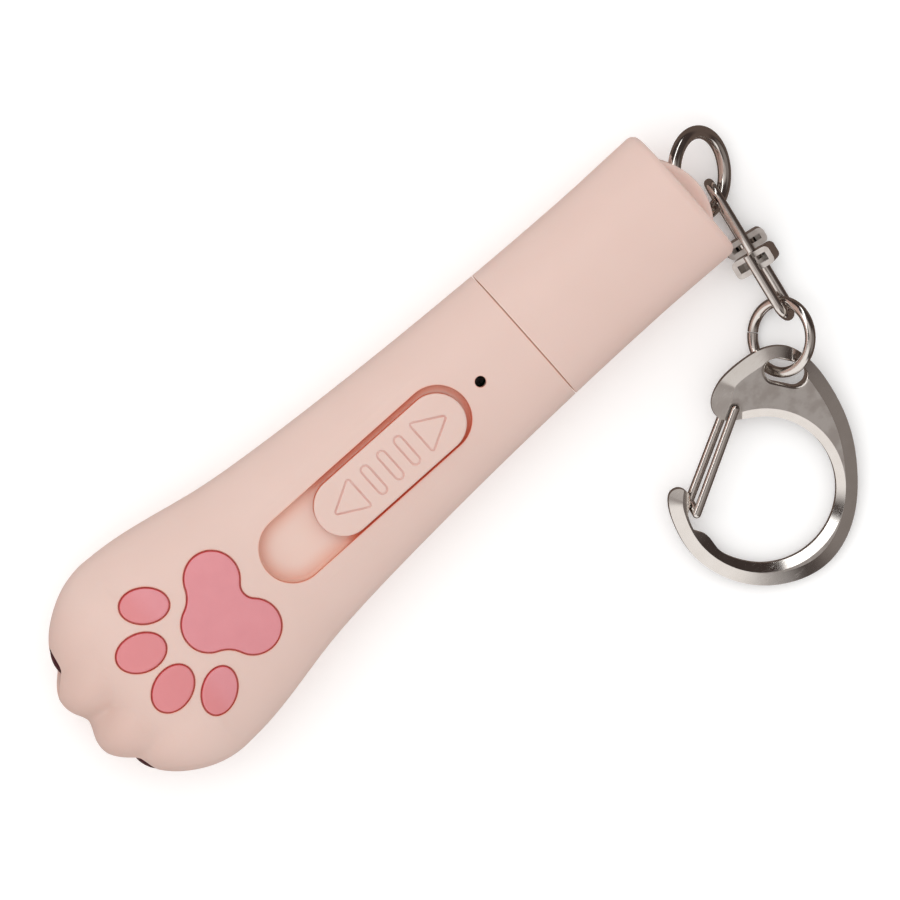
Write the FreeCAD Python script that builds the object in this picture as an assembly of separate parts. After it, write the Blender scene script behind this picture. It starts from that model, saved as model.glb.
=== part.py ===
import FreeCAD, Part
import math
import os

# Handheld cat light teaser: a paw shaped housing with a thumb slide, a pull-off cap over its
# charging plug, and a key ring chain with a snap hook lying beside it.
# Millimetres. X runs from the toes to the cap, Z is up, and the pads face up.
# Every X below is measured from the tip of the toes. The parts are written with the origin
# at the middle of the flat underside.

Vector = FreeCAD.Vector

# Housing outline
seam_height = 9.6
flat_depth = 0.25
rest_middle = 42.0
paw_x = 15.0
paw_half_width = 15.88
wrist_x = 34.3
wrist_half_width = 12.8
grip_x = 55.0
grip_half_width = 11.1
cap_seam_x = 76.8
cap_seam_half_width = 10.15
waist_x = 93.0
waist_half_width = 9.87
body_end_x = 104.9
end_half_width = 10.05
paw_rise = 11.1
handle_rise = 9.4
cap_end_rise = 9.2
handle_rise_x = 38.0
cap_end_drop = 9.5
section_power = 2.4
nose_power = 2.33
nose_length = 11.5

# Toes: centre from the tip, sideways distance, and half sizes of each rounded lobe
inner_toe_x = 5.85
inner_toe_y = 3.64
inner_toe_half = (5.69, 4.73, 8.4)
outer_toe_x = 12.35
outer_toe_y = 8.73
outer_toe_half = (8.94, 5.12, 9.2)
toe_softness = 3.0

# Shells
wall = 1.7
end_wall = 1.5
cap_gap = 0.15
cap_wall = 1.8
cap_fit = 0.06
neck_wall = 1.3
neck_length = 4.5
cap_end_wall = 4.3
cap_corner = 1.2

# Soft pads
pad_proud = 0.3
pad_seat = 0.9
pad_gap = 0.16
pad_edge = 0.3
main_lobe_radius = 3.62
front_lobe_x = 21.5
rear_lobe_x = 25.6
rear_lobe_y = 4.1
side_blend_radius = 4.0
rear_blend_radius = 2.0
inner_pad_x = 12.5
inner_pad_y = 3.1
inner_pad_half = (3.35, 2.48)
inner_pad_turn = 18.0
outer_pad_x = 16.8
outer_pad_y = 7.35
outer_pad_half = (3.24, 2.28)
outer_pad_turn = 35.0

# Slide button, its recess and the parts under it
recess_start_x = 31.6
recess_length = 34.0
recess_width = 9.0
recess_floor_z = 17.2
recess_floor_wall = 1.4
recess_edge = 0.45
button_length = 23.9
button_width = 7.85
button_float = 0.12
button_end_gap = 1.0
button_top_z = 19.35
button_crown_radius = 34.0
button_edge = 0.35
slide_travel = 8.6
mark_height = 4.8
mark_line = 0.28
mark_depth = 0.22
arrow_length = 4.45
arrow_reach = 9.55
arrow_corner = 0.45
rib_width = 1.5
rib_pitch = 2.85
stem_length = 5.0
stem_root = 0.5
stem_width = 3.0
stem_play = 0.3
slide_y = -0.25
clip_length = 11.0
clip_width = 7.4
clip_thickness = 0.8
clip_gap = 0.12
lever_side = 1.6
lever_foot = 3.6
lever_foot_height = 1.4
lever_play = 0.05
lever_depth_in_stem = 1.3

# Board and what it carries
board_thickness = 1.0
board_front_x = 23.5
board_rear_x = 75.0
board_width = 15.0
board_corner = 1.0
switch_length = 17.0
switch_width = 6.4
switch_height = 2.8
switch_wall = 0.6
switch_end_room = 0.3
chip_size = (5.0, 4.0, 1.5)
chip_x = 31.5
light_hole_beyond_recess = 2.9
light_hole_radius = 0.75
charge_light_size = (3.2, 1.6, 1.1)

# Battery under the board
battery_length = 30.0
battery_to_rear_post = 3.9
battery_width = 12.0
battery_height = 5.8
battery_bottom_z = 3.5
battery_corner = 1.0
rib_thickness = 1.0
front_rib_gap = 0.2
cradle_ribs_along_battery = (0.25, 0.75)
battery_lead_radius = 0.45
battery_lead_y = 2.0
battery_lead_bend = 1.2

# Screws from the underside
front_screw_x = 19.0
rear_screw_before_recess_end = 3.6
screw_shank_radius = 1.0
screw_head_radius = 1.9
screw_head_height = 1.3
screw_seat_z = 2.4
screw_length = 11.0
screw_slot_width = 0.5
screw_slot_length = 2.6
screw_slot_depth = 0.6
head_clearance = 0.25
shank_clearance = 0.2
post_radius = 2.6
pilot_depth_over_tip = 0.6

# Light sources behind the two windows between the toes
window_y = 7.6
window_radius = 2.95
window_clearance = 0.06
window_front_x = 2.7
window_dome = 1.2
window_flange_radius = 3.6
window_flange_x = 5.7
window_flange_thickness = 1.0
window_seat_length = 2.0
laser_front_x = 7.8
laser_length = 11.0
laser_radius = 3.0
laser_bore = 2.2
laser_lens_thickness = 1.4
laser_lens_setback = 0.6
laser_lens_round = 2.2
diode_length = 2.4
diode_rim_length = 1.0
lead_radius = 0.4
lead_spread = 0.9
lead_overlap_on_board = 2.5
lamp_radius = 2.5
lamp_front_x = 7.8
lamp_length = 8.0
lamp_rim_radius = 2.9
lamp_rim_length = 1.0
lamp_leg = 0.5
lamp_leg_spread = 1.27
saddle_thickness = 1.2
saddle_from_ends = 2.5
saddle_before_lamp_rim = 1.0

# Charging plug
plug_width = 12.0
plug_height = 4.5
plug_shell = 0.3
plug_length = 18.8
plug_tip_beyond_neck = 12.6
plug_clearance = 0.1
plug_window = (2.2, 2.0)
plug_window_from_tip = 5.2
plug_window_y = 2.6
tongue_thickness = 1.9
tongue_setback = 0.6
tongue_block_length = 5.0
contact_width = 1.0
contact_thickness = 0.2
contact_pitch = 2.2
contact_count = 4
contact_length = 7.0
contact_setback = 1.0

# Lug on the cap and its ring
lug_reach = 1.9
lug_half_width = 5.4
lug_low_z = 4.7
lug_high_z = 11.9
lug_edge = 0.7
lug_root = 3.3
lug_ring_x = 107.92
lug_ring_y = 0.15
lug_ring_z = 6.1
lug_ring_turn = 52.6
lug_ring_tilt = 48.0
lug_ring_radius = 5.4
lug_ring_wire = 0.88
lug_channel_play = 0.4
lug_ring_swing = 24.0
lug_swing_steps = 4
lug_pivot_x = 103.8
lug_pivot_y = -1.65

# Swivel between the lug ring and the jump ring
swivel_start_x = 108.2
swivel_start_y = -1.3
swivel_end_x = 104.4
swivel_end_y = -22.45
swivel_z = 3.2
swivel_wire = 0.65
upper_loop_half = 2.45
lower_loop_half = 2.1
lower_loop_roll = -20.0
hoop_width = 5.7
upper_hoop_height = 2.1
lower_hoop_height = 2.5
hoop_wall = 0.7
hoop_floor = 0.25
hoop_gap = 0.3
hoop_corner = 0.7
hoop_overlap = 0.12
upper_half_length = 10.85
rivet_radius = 0.75
rivet_fit = 0.05
rivet_head_height = 0.55
head_under_wire = 0.2

# Jump ring between the swivel and the hook
jump_ring_x = 101.9
jump_ring_y = -23.2
jump_ring_z = 3.8
jump_ring_turn = 47.5
jump_ring_tilt = 41.0
jump_ring_radius = 4.65
jump_ring_wire = 0.7
jump_ring_split = 0.12
jump_ring_split_turn = 132.0

# Snap hook, drawn flat and then tipped so that its plate rests on the jump ring
hook_thickness = 2.5
hook_edge = 0.4
hook_outer_slope = (1.7, 0.6)
hook_inner_slope = (1.15, 0.7)
hook_tip_y = -48.2
hook_tip_angle = 6.5
hook_shift_x = 0.2
hook_shift_y = -0.55
hook_inner_x = 86.7
hook_inner_y = -35.85
hook_inner_radius = 9.7
slot_x = 99.0
slot_y = -26.0
slot_length = 5.6
slot_width = 3.1
slot_turn = -54.0
slot_edge = 0.5

# Wire gate of the hook
gate_wire = 0.58
gate_leg_z = 1.05
front_pin = (90.9, -25.2)
rear_pin = (89.5, -24.9)
front_leg_end = (78.1, -32.25)
rear_leg_end = (78.5, -30.75)
gate_pin_reach = 0.9
gate_pin_fit = 0.06
gate_pocket_play = 0.3
gate_pocket_steps = 3
gate_notch_play = 0.2
gate_open_angle = 25.0


def mix(stations, x):
    """Smooth curve through (x, value) stations, level at its first and last station."""
    last = len(stations) - 1
    if x <= stations[0][0]:
        return stations[0][1]
    if x >= stations[last][0]:
        return stations[last][1]
    slopes = [0.0]
    for k in range(1, last):
        rise = stations[k + 1][1] - stations[k - 1][1]
        slopes.append(rise / (stations[k + 1][0] - stations[k - 1][0]))
    slopes.append(0.0)
    k = max(i for i in range(last) if stations[i][0] <= x)
    start_x, start = stations[k]
    end_x, end = stations[k + 1]
    span = end_x - start_x
    t = (x - start_x) / span
    value = (2 * t**3 - 3 * t**2 + 1) * start + (3 * t**2 - 2 * t**3) * end
    return value + span * ((t**3 - 2 * t**2 + t) * slopes[k] + (t**3 - t**2) * slopes[k + 1])


def half_width(x):
    return mix(
        [
            (paw_x, paw_half_width),
            (wrist_x, wrist_half_width),
            (grip_x, grip_half_width),
            (cap_seam_x, cap_seam_half_width),
            (waist_x, waist_half_width),
            (body_end_x, end_half_width),
        ],
        x,
    )


def rise(x):
    """Height of the skin above the seam."""
    return mix([(paw_x, paw_rise), (handle_rise_x, handle_rise), (body_end_x, cap_end_rise)], x)


def drop(x):
    """Depth of the skin below the seam, before the underside is cut flat."""
    return mix([(cap_seam_x, seam_height + flat_depth), (body_end_x, cap_end_drop)], x)


def soft_max(a, b, softness):
    overlap = max(softness - abs(a - b), 0.0) / softness
    return max(a, b) + overlap * overlap * softness / 4


def section_point(x, angle, inset):
    """Point of the skin's cross section at x, at an angle round the seam line's middle."""
    across, up = math.cos(angle), math.sin(angle)
    tall = rise(x) if up >= 0 else drop(x)
    reach = (abs(across / half_width(x)) ** section_power + abs(up / tall) ** section_power) ** (
        -1 / section_power
    ) - inset
    return Vector(x, reach * across, seam_height + reach * up)


def lobe_reach(lobe, direction):
    """Distance along a direction, from the paw's middle, to the far side of a toe lobe."""
    centre, half = lobe
    start = (paw_x - centre[0], -centre[1], 0.0)
    a = sum((d / h) ** 2 for d, h in zip(direction, half))
    b = 2 * sum(s * d / h**2 for s, d, h in zip(start, direction, half))
    c = sum((s / h) ** 2 for s, h in zip(start, half)) - 1
    inside = b * b - 4 * a * c
    return (math.sqrt(inside) - b) / (2 * a) if inside > 0 else 0.0


def nose_point(tilt, angle, inset, with_toes):
    """Point of the rounded paw front, at a tilt from straight ahead and an angle round it."""
    ahead, across, up = math.cos(tilt), math.sin(tilt) * math.cos(angle), math.sin(tilt) * math.sin(angle)
    tall = rise(paw_x) if up >= 0 else drop(paw_x)
    plan = (ahead / nose_length) ** nose_power + abs(across / paw_half_width) ** nose_power
    side = abs(up / tall) ** section_power
    reach = (plan ** (section_power / nose_power) + side) ** (-1 / section_power)
    if with_toes:
        for lobe in toe_lobes():
            reach = soft_max(reach, lobe_reach(lobe, (-ahead, across, up)), toe_softness)
    reach -= inset
    return Vector(paw_x - reach * ahead, reach * across, seam_height + reach * up)


def toe_lobes():
    lobes = []
    for side in (1, -1):
        lobes.append(((inner_toe_x, side * inner_toe_y), inner_toe_half))
        lobes.append(((outer_toe_x, side * outer_toe_y), outer_toe_half))
    return lobes


def clamped_knots(count):
    spans = count - 3
    return list(range(spans + 1)), [4] + [1] * (spans - 1) + [4]


def half_solid(rows):
    """Solid between a smooth skin over the rows of points and the flat seam."""
    u_knots, u_counts = clamped_knots(len(rows))
    v_knots, v_counts = clamped_knots(len(rows[0]))
    surface = Part.BSplineSurface()
    surface.buildFromPolesMultsKnots(rows, u_counts, v_counts, u_knots, v_knots, False, False, 3, 3)
    skin = surface.toShape()
    long_edges = [edge for edge in skin.Edges if edge.BoundBox.XLength > 1]
    end_edges = [edge for edge in skin.Edges if edge.BoundBox.XLength < 0.001 and edge.Length > 0.01]
    chords = [Part.makeLine(edge.Vertexes[0].Point, edge.Vertexes[-1].Point) for edge in end_edges]
    faces = [skin, Part.Face(Part.Wire(Part.__sortEdges__(long_edges + chords)))]
    for edge, chord in zip(end_edges, chords):
        faces.append(Part.Face(Part.Wire([edge, chord])))
    shell = Part.Shell(faces)
    shell.sewShape()
    solid = Part.Solid(shell)
    if solid.Volume < 0:
        solid.reverse()
    return solid


def half_angles(side):
    steps = 40
    return [side * math.pi * k / steps for k in range(steps + 1)]


def on_seam(row):
    """The row with its first and last point laid exactly on the seam."""
    row[0].z = seam_height
    row[-1].z = seam_height
    return row


def housing_half(side, inset=0.0, with_toes=True, end_x=cap_seam_x):
    """Upper (side 1) or lower (side -1) half of the housing, its skin moved in by the inset."""
    angles = half_angles(side)
    rows = []
    nose_steps = 30
    for k in range(nose_steps):
        tilt = math.pi / 2 * k / nose_steps
        rows.append(on_seam([nose_point(tilt, angle, inset, with_toes) for angle in angles]))
    body_steps = 22
    for k in range(body_steps + 1):
        x = paw_x + (end_x - paw_x) * k / body_steps
        rows.append(on_seam([section_point(x, angle, inset) for angle in angles]))
    return half_solid(rows)


def cap_half(side):
    """Upper or lower half of the cap's outside, with a rounded far corner."""
    start_x = cap_seam_x + cap_gap
    angles = half_angles(side)
    rows = []
    straight_steps = 10
    for k in range(straight_steps + 1):
        x = start_x + (body_end_x - cap_corner - start_x) * k / straight_steps
        rows.append(on_seam([section_point(x, angle, 0.0) for angle in angles]))
    corner_steps = 8
    for k in range(1, corner_steps + 1):
        turn = math.pi / 2 * k / corner_steps
        inset = cap_corner * (1 - math.cos(turn))
        row = [section_point(body_end_x, angle, inset) for angle in angles]
        for point in row:
            point.x = body_end_x - cap_corner * (1 - math.sin(turn))
        rows.append(on_seam(row))
    return half_solid(rows)


def section_prism(inset, start_x, end_x):
    """Straight prism of the cross section at the cap seam, moved in by the inset."""
    steps = 64
    points = [section_point(cap_seam_x, 2 * math.pi * k / steps, inset) for k in range(steps)]
    curve = Part.BSplineCurve()
    curve.buildFromPoles(points, True)
    face = Part.Face(Part.Wire(curve.toShape()))
    face.translate(Vector(start_x - cap_seam_x, 0, 0))
    return face.extrude(Vector(end_x - start_x, 0, 0))


def box(low, high):
    size = [b - a for a, b in zip(low, high)]
    return Part.makeBox(size[0], size[1], size[2], Vector(*low))


def rod(start, end, radius):
    start, end = Vector(*start), Vector(*end)
    return Part.makeCylinder(radius, (end - start).Length, start, end - start)


def half_space(side):
    """Everything above (side 1) or below (side -1) the seam."""
    size = 2 * body_end_x
    if side > 0:
        return box((-size, -size, seam_height), (size, size, size))
    return box((-size, -size, -size), (size, size, seam_height))


def floor_space():
    size = 2 * body_end_x
    return box((-size, -size, -size), (size, size, 0))


def neck_end_x():
    return cap_seam_x + neck_length


def neck(side):
    """Half of the neck that the cap slides on."""
    inset = cap_wall + cap_fit
    outside = section_prism(inset, cap_seam_x - end_wall, neck_end_x())
    return outside.common(half_space(side))


def cavity(side):
    """Hollow of one housing half, running on through the neck."""
    hollow = housing_half(side, wall, False, cap_seam_x - end_wall)
    bore = section_prism(cap_wall + cap_fit + neck_wall, cap_seam_x - 2 * end_wall, neck_end_x() - end_wall)
    return hollow.fuse(bore.common(half_space(side)))


def prism(wire, low_z, high_z):
    wire = wire.copy()
    wire.translate(Vector(0, 0, low_z - wire.BoundBox.ZMin))
    return Part.Face(wire).extrude(Vector(0, 0, high_z - low_z))


def stadium(start_x, length, width):
    """Slot outline along X with round ends."""
    radius = width / 2
    left, right = start_x + radius, start_x + length - radius
    return Part.Wire(
        [
            Part.makeLine(Vector(left, -radius, 0), Vector(right, -radius, 0)),
            Part.Arc(
                Vector(right, -radius, 0), Vector(right + radius, 0, 0), Vector(right, radius, 0)
            ).toShape(),
            Part.makeLine(Vector(right, radius, 0), Vector(left, radius, 0)),
            Part.Arc(
                Vector(left, radius, 0), Vector(left - radius, 0, 0), Vector(left, -radius, 0)
            ).toShape(),
        ]
    )


def triangle(tip_x, base_x, height, corner):
    """Triangle along X with corners of the given radius, its overall size that of its sides."""
    inward = corner if tip_x > base_x else -corner
    tip_x, base_x, half = tip_x - inward, base_x + inward, height / 2 - corner
    corners = [Vector(tip_x, 0, 0), Vector(base_x, half, 0), Vector(base_x, -half, 0)]
    return Part.makePolygon(corners + corners[:1]).makeOffset2D(corner)


def oval(x, y, half, turn):
    """Ellipse outline at (x, y), its long axis turned from X."""
    curve = Part.Ellipse(Vector(0, 0, 0), half[0], half[1]).toShape()
    wire = Part.Wire(curve)
    wire.rotate(Vector(0, 0, 0), Vector(0, 0, 1), turn)
    wire.translate(Vector(x, y, 0))
    return wire


def blend_centre(first, second, radius):
    """Centre of a circle that touches two circles from outside, on the left going first to second."""
    (x1, y1, r1), (x2, y2, r2) = first, second
    reach1, reach2 = r1 + radius, r2 + radius
    gap = math.hypot(x2 - x1, y2 - y1)
    along = (reach1**2 - reach2**2 + gap**2) / (2 * gap)
    off = math.sqrt(reach1**2 - along**2)
    ux, uy = (x2 - x1) / gap, (y2 - y1) / gap
    return x1 + along * ux - off * uy, y1 + along * uy + off * ux


def lobed_outline(lobes, blends):
    """Outline round a ring of circles, taken clockwise, with a hollow blend after each."""
    count = len(lobes)
    centres = [blend_centre(lobes[k], lobes[(k + 1) % count], blends[k]) for k in range(count)]

    def toward(centre, other, radius):
        gap = math.hypot(other[0] - centre[0], other[1] - centre[1])
        return Vector(
            centre[0] + radius * (other[0] - centre[0]) / gap,
            centre[1] + radius * (other[1] - centre[1]) / gap,
            0,
        )

    edges = []
    middle = (sum(lobe[0] for lobe in lobes) / count, sum(lobe[1] for lobe in lobes) / count)
    for k in range(count):
        lobe, after = lobes[k], lobes[(k + 1) % count]
        start = toward(lobe, centres[k - 1], lobe[2])
        end = toward(lobe, centres[k], lobe[2])
        top = toward(lobe, (2 * lobe[0] - middle[0], 2 * lobe[1] - middle[1]), lobe[2])
        edges.append(Part.Arc(start, top, end).toShape())
        hollow_end = toward(after, centres[k], after[2])
        hollow_middle = toward(centres[k], middle, blends[k])
        edges.append(Part.Arc(end, hollow_middle, hollow_end).toShape())
    return Part.Wire(edges)


def main_pad_outline(grow):
    radius = main_lobe_radius + grow
    lobes = [
        (front_lobe_x, 0.0, radius),
        (rear_lobe_x, rear_lobe_y, radius),
        (rear_lobe_x, -rear_lobe_y, radius),
    ]
    return lobed_outline(
        lobes, [side_blend_radius - grow, rear_blend_radius - grow, side_blend_radius - grow]
    )


def toe_pad_outline(place, grow):
    x, y, half, turn = place
    return oval(x, y, (half[0] + grow, half[1] + grow), turn)


def pad_places():
    """The four oval pads by name: place, half sizes and turn."""
    return {
        "inner_toe_pad_left": (inner_pad_x, inner_pad_y, inner_pad_half, -inner_pad_turn),
        "inner_toe_pad_right": (inner_pad_x, -inner_pad_y, inner_pad_half, inner_pad_turn),
        "outer_toe_pad_left": (outer_pad_x, outer_pad_y, outer_pad_half, -outer_pad_turn),
        "outer_toe_pad_right": (outer_pad_x, -outer_pad_y, outer_pad_half, outer_pad_turn),
    }


def pad_outlines(grow):
    outlines = {"main_pad": main_pad_outline(grow)}
    for name, place in pad_places().items():
        outlines[name] = toe_pad_outline(place, grow)
    return outlines


def over_everything():
    return 2 * seam_height + paw_rise


def make_pads():
    """Pads that follow the skin, a little proud of it, with a softened top edge."""
    outside = housing_half(1, -pad_proud)
    inside = housing_half(1, pad_seat)
    pads = {}
    for name, outline in pad_outlines(0.0).items():
        pad = prism(outline, seam_height, over_everything()).common(outside).cut(inside)
        top = pad.BoundBox.ZMax
        rims = [
            edge
            for edge in pad.Edges
            if edge.BoundBox.ZMax > top - 3 * pad_proud - pad_edge and not upright(edge)
        ]
        rims = [edge for edge in rims if on_skin(edge, outside)]
        pads[name] = pad.makeFillet(pad_edge, rims)
    return pads


def upright(edge):
    first, last = edge.Vertexes[0].Point, edge.Vertexes[-1].Point
    return abs(first.z - last.z) > 0.5 * edge.Length


def on_skin(edge, solid):
    middle = edge.valueAt((edge.FirstParameter + edge.LastParameter) / 2)
    return solid.Shells[0].distToShape(Part.Vertex(middle))[0] < 0.01


def pad_seats():
    """Cutters for the pads' seats in the upper shell."""
    inside = housing_half(1, pad_seat)
    return [
        prism(outline, seam_height, over_everything()).cut(inside)
        for outline in pad_outlines(pad_gap).values()
    ]


def button_start_x():
    return recess_end_x() - button_end_gap - button_length


def button_middle_x():
    return button_start_x() + button_length / 2


def recess_end_x():
    return recess_start_x + recess_length


def rear_screw_x():
    return recess_end_x() - rear_screw_before_recess_end


def screw_places():
    return (front_screw_x, rear_screw_x())


def light_hole_x():
    return recess_end_x() + light_hole_beyond_recess


def battery_rear_x():
    return rear_screw_x() - post_radius - battery_to_rear_post


def battery_front_x():
    return battery_rear_x() - battery_length


def board_bottom_z():
    return seam_height


def board_top_z():
    return seam_height + board_thickness


def light_axis_z():
    return seam_height + board_thickness / 2


def button_recess():
    outline = stadium(recess_start_x, recess_length, recess_width)
    cutter = prism(outline, recess_floor_z, over_everything())
    floor_rim = [edge for edge in cutter.Edges if edge.BoundBox.ZMax < recess_floor_z + 0.01]
    return cutter.makeFillet(recess_edge, floor_rim)


def stem_slot():
    """Slot in the recess floor that the button's stem runs in."""
    front = button_middle_x() - stem_length / 2 - slide_travel - stem_play
    rear = button_middle_x() + stem_length / 2 + stem_play
    half = stem_width / 2 + stem_play
    return box((front, -half, seam_height + board_thickness), (rear, half, recess_floor_z + recess_edge))


def upper_posts():
    posts = []
    for x, bottom in zip(screw_places(), (seam_height, board_top_z())):
        posts.append(rod((x, 0, bottom), (x, 0, over_everything()), post_radius))
    return posts


def pilot_hole(x, bottom):
    top = screw_seat_z + screw_length + pilot_depth_over_tip
    return rod((x, 0, bottom), (x, 0, top), screw_shank_radius)


def window_bores():
    """Holes for the two windows with the seats for their flanges, seen from the toes inward."""
    cutters = []
    z = light_axis_z()
    for side in (1, -1):
        y = side * window_y
        cutters.append(
            rod(
                (-1, y, z),
                (window_flange_x + window_flange_thickness, y, z),
                window_radius + window_clearance,
            )
        )
        cutters.append(
            rod(
                (window_flange_x, y, z),
                (window_flange_x + window_seat_length, y, z),
                window_flange_radius + window_clearance,
            )
        )
    return cutters


def plug_middle_z():
    return light_axis_z()


def plug_opening():
    half_width_y = plug_width / 2 + plug_clearance
    half_height = plug_height / 2 + plug_clearance
    z = plug_middle_z()
    return box(
        (neck_end_x() - 2 * end_wall, -half_width_y, z - half_height),
        (neck_end_x() + 1, half_width_y, z + half_height),
    )


def recess_floor_plate():
    """Material under the button recess, which hangs into the hollow."""
    margin = wall
    outline = stadium(recess_start_x - margin, recess_length + 2 * margin, recess_width + 2 * margin)
    return prism(outline, recess_floor_z - recess_floor_wall, over_everything())


def make_upper_shell():
    outside = housing_half(1)
    shell = outside.fuse(neck(1)).cut(cavity(1))
    inner_parts = recess_floor_plate().fuse(upper_posts())
    shell = shell.fuse(inner_parts.common(outside))
    cutters = [button_recess(), stem_slot(), plug_opening()]
    cutters += [
        rod(
            (light_hole_x(), 0, seam_height + wall),
            (light_hole_x(), 0, over_everything()),
            light_hole_radius,
        )
    ]
    for x, bottom in zip(screw_places(), (seam_height, board_top_z())):
        cutters.append(pilot_hole(x, bottom))
    cutters += pad_seats() + window_bores()
    for cutter in cutters:
        shell = shell.cut(cutter)
    return shell


def cross_rib(x, top_z, gap):
    """Rib across the hollow of the lower shell, kept off the upper shell's wall by the gap."""
    plate = box((x, -paw_half_width, 0), (x + rib_thickness, paw_half_width, top_z))
    return plate.common(housing_half(-1, gap, False))


def saddle(x, y, axis_z, radius):
    """Rib with a round seat that holds a light source from below."""
    block = box((x, y - radius, 0), (x + saddle_thickness, y + radius, axis_z - radius / 2))
    block = block.common(half_space(-1)).common(housing_half(-1, wall / 2, False))
    return block.cut(rod((x - 1, y, axis_z), (x + saddle_thickness + 1, y, axis_z), radius))


def light_saddles():
    saddles = []
    sources = (
        (laser_front_x, laser_length, window_y, laser_radius),
        (lamp_front_x, lamp_length - lamp_rim_length - saddle_before_lamp_rim, -window_y, lamp_radius),
    )
    for front_x, length, y, radius in sources:
        for x in (front_x + saddle_from_ends, front_x + length - saddle_from_ends):
            saddles.append(saddle(x, y, light_axis_z(), radius))
    return saddles


def screw_holes():
    holes = []
    for x in screw_places():
        holes.append(rod((x, 0, -1), (x, 0, screw_seat_z), screw_head_radius + head_clearance))
        holes.append(rod((x, 0, 0), (x, 0, seam_height), screw_shank_radius + shank_clearance))
    return holes


def make_lower_shell():
    outside = housing_half(-1)
    shell = outside.fuse(neck(-1)).cut(cavity(-1))
    inner = housing_half(-1, wall / 2, False)
    front_rib_x = battery_front_x() - front_rib_gap - rib_thickness
    ribs = [cross_rib(front_rib_x, board_bottom_z(), wall / 2)]
    for share in cradle_ribs_along_battery:
        ribs.append(cross_rib(battery_front_x() + share * battery_length, battery_bottom_z, wall / 2))
    for x in screw_places():
        ribs.append(rod((x, 0, 0), (x, 0, seam_height), post_radius).common(inner))
    ribs += light_saddles()
    for rib in ribs:
        shell = shell.fuse(rib)
    for cutter in screw_holes() + window_bores() + [plug_opening(), floor_space()]:
        shell = shell.cut(cutter)
    return shell


def make_slide_button():
    """Thumb slide with its stem, crowned top, two arrow heads and three ribs."""
    outline = stadium(button_start_x(), button_length, button_width)
    bottom = recess_floor_z + button_float
    button = prism(outline, bottom, button_top_z + 1)
    crown = rod(
        (button_start_x() - 1, 0, button_top_z - button_crown_radius),
        (button_start_x() + button_length + 1, 0, button_top_z - button_crown_radius),
        button_crown_radius,
    )
    button = button.common(crown)
    rims = [edge for edge in button.Edges if edge.BoundBox.ZMin > button_top_z - 1]
    button = button.makeFillet(button_edge, rims)
    for groove in button_marks():
        button = button.cut(groove)
    middle = button_middle_x()
    stem = box(
        (middle - stem_length / 2, -stem_width / 2, clip_bottom_z()),
        (middle + stem_length / 2, stem_width / 2, bottom + stem_root),
    )
    button = button.fuse(stem)
    half = lever_side / 2 + lever_play
    socket = box(
        (middle - half, -half, clip_bottom_z()),
        (middle + half, half, clip_bottom_z() + lever_depth_in_stem),
    )
    return button.cut(socket).removeSplitter()


def ring_groove(outer, inner, low_z):
    top = button_top_z + 1
    return prism(outer, low_z, top).cut(prism(inner, low_z - 1, top + 1))


def button_marks():
    """Shallow line grooves: an arrow head at each end and three ribs between."""
    low_z = button_top_z - mark_depth
    middle = button_middle_x()
    marks = []
    for side in (-1, 1):
        tip = middle + side * arrow_reach
        base = tip - side * arrow_length
        outer = triangle(tip, base, mark_height, arrow_corner)
        inner = triangle(
            tip - side * mark_line,
            base + side * mark_line,
            mark_height - 2 * mark_line,
            arrow_corner - mark_line,
        )
        marks.append(ring_groove(outer, inner, low_z))
    for k in (-1, 0, 1):
        x = middle + k * rib_pitch
        marks.append(
            ring_groove(
                rib_outline(x, rib_width, mark_height),
                rib_outline(x, rib_width - 2 * mark_line, mark_height - 2 * mark_line),
                low_z,
            )
        )
    return marks


def rib_outline(x, width, height):
    """Upright rounded bar across the button."""
    wire = stadium(-height / 2, height, width)
    wire.rotate(Vector(0, 0, 0), Vector(0, 0, 1), 90)
    wire.translate(Vector(x, 0, 0))
    return wire


def floor_underside_z():
    return recess_floor_z - recess_floor_wall


def clip_top_z():
    return floor_underside_z() - clip_gap


def clip_bottom_z():
    return clip_top_z() - clip_thickness


def make_button_clip():
    middle = button_middle_x()
    half_l, half_w = clip_length / 2, clip_width / 2
    plate = box((middle - half_l, -half_w, clip_bottom_z()), (middle + half_l, half_w, clip_top_z()))
    hole = box(
        (middle - stem_length / 2, -stem_width / 2, clip_bottom_z() - 1),
        (middle + stem_length / 2, stem_width / 2, clip_top_z() + 1),
    )
    return plate.cut(hole)


def switch_start_x():
    return button_middle_x() - slide_travel / 2 - switch_length / 2


def lever_foot_bottom_z():
    return board_top_z() + switch_wall + lever_play


def make_switch_body():
    """Slide switch housing with a channel for the lever's foot and a slot above it."""
    x = switch_start_x()
    body = box(
        (x, -switch_width / 2, board_top_z()),
        (x + switch_length, switch_width / 2, board_top_z() + switch_height),
    )
    middle = button_middle_x()
    room = lever_foot / 2 + switch_end_room
    half = lever_foot / 2 + lever_play
    channel = box(
        (middle - slide_travel - room, -half, lever_foot_bottom_z() - lever_play),
        (middle + room, half, lever_foot_bottom_z() + lever_foot_height + lever_play),
    )
    slot_room = lever_side / 2 + switch_end_room
    slot = box(
        (middle - slide_travel - slot_room, -lever_side / 2 - lever_play, board_top_z() + switch_wall),
        (middle + slot_room, lever_side / 2 + lever_play, board_top_z() + switch_height + 1),
    )
    return body.cut(channel).cut(slot)


def make_switch_lever():
    middle = button_middle_x()
    half_foot, half_side = lever_foot / 2, lever_side / 2
    bottom = lever_foot_bottom_z()
    foot_top = bottom + lever_foot_height
    foot = box((middle - half_foot, -half_foot, bottom), (middle + half_foot, half_foot, foot_top))
    stalk_top = clip_bottom_z() + lever_depth_in_stem - lever_play
    stalk = box((middle - half_side, -half_side, bottom), (middle + half_side, half_side, stalk_top))
    return foot.fuse(stalk).removeSplitter()


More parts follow.
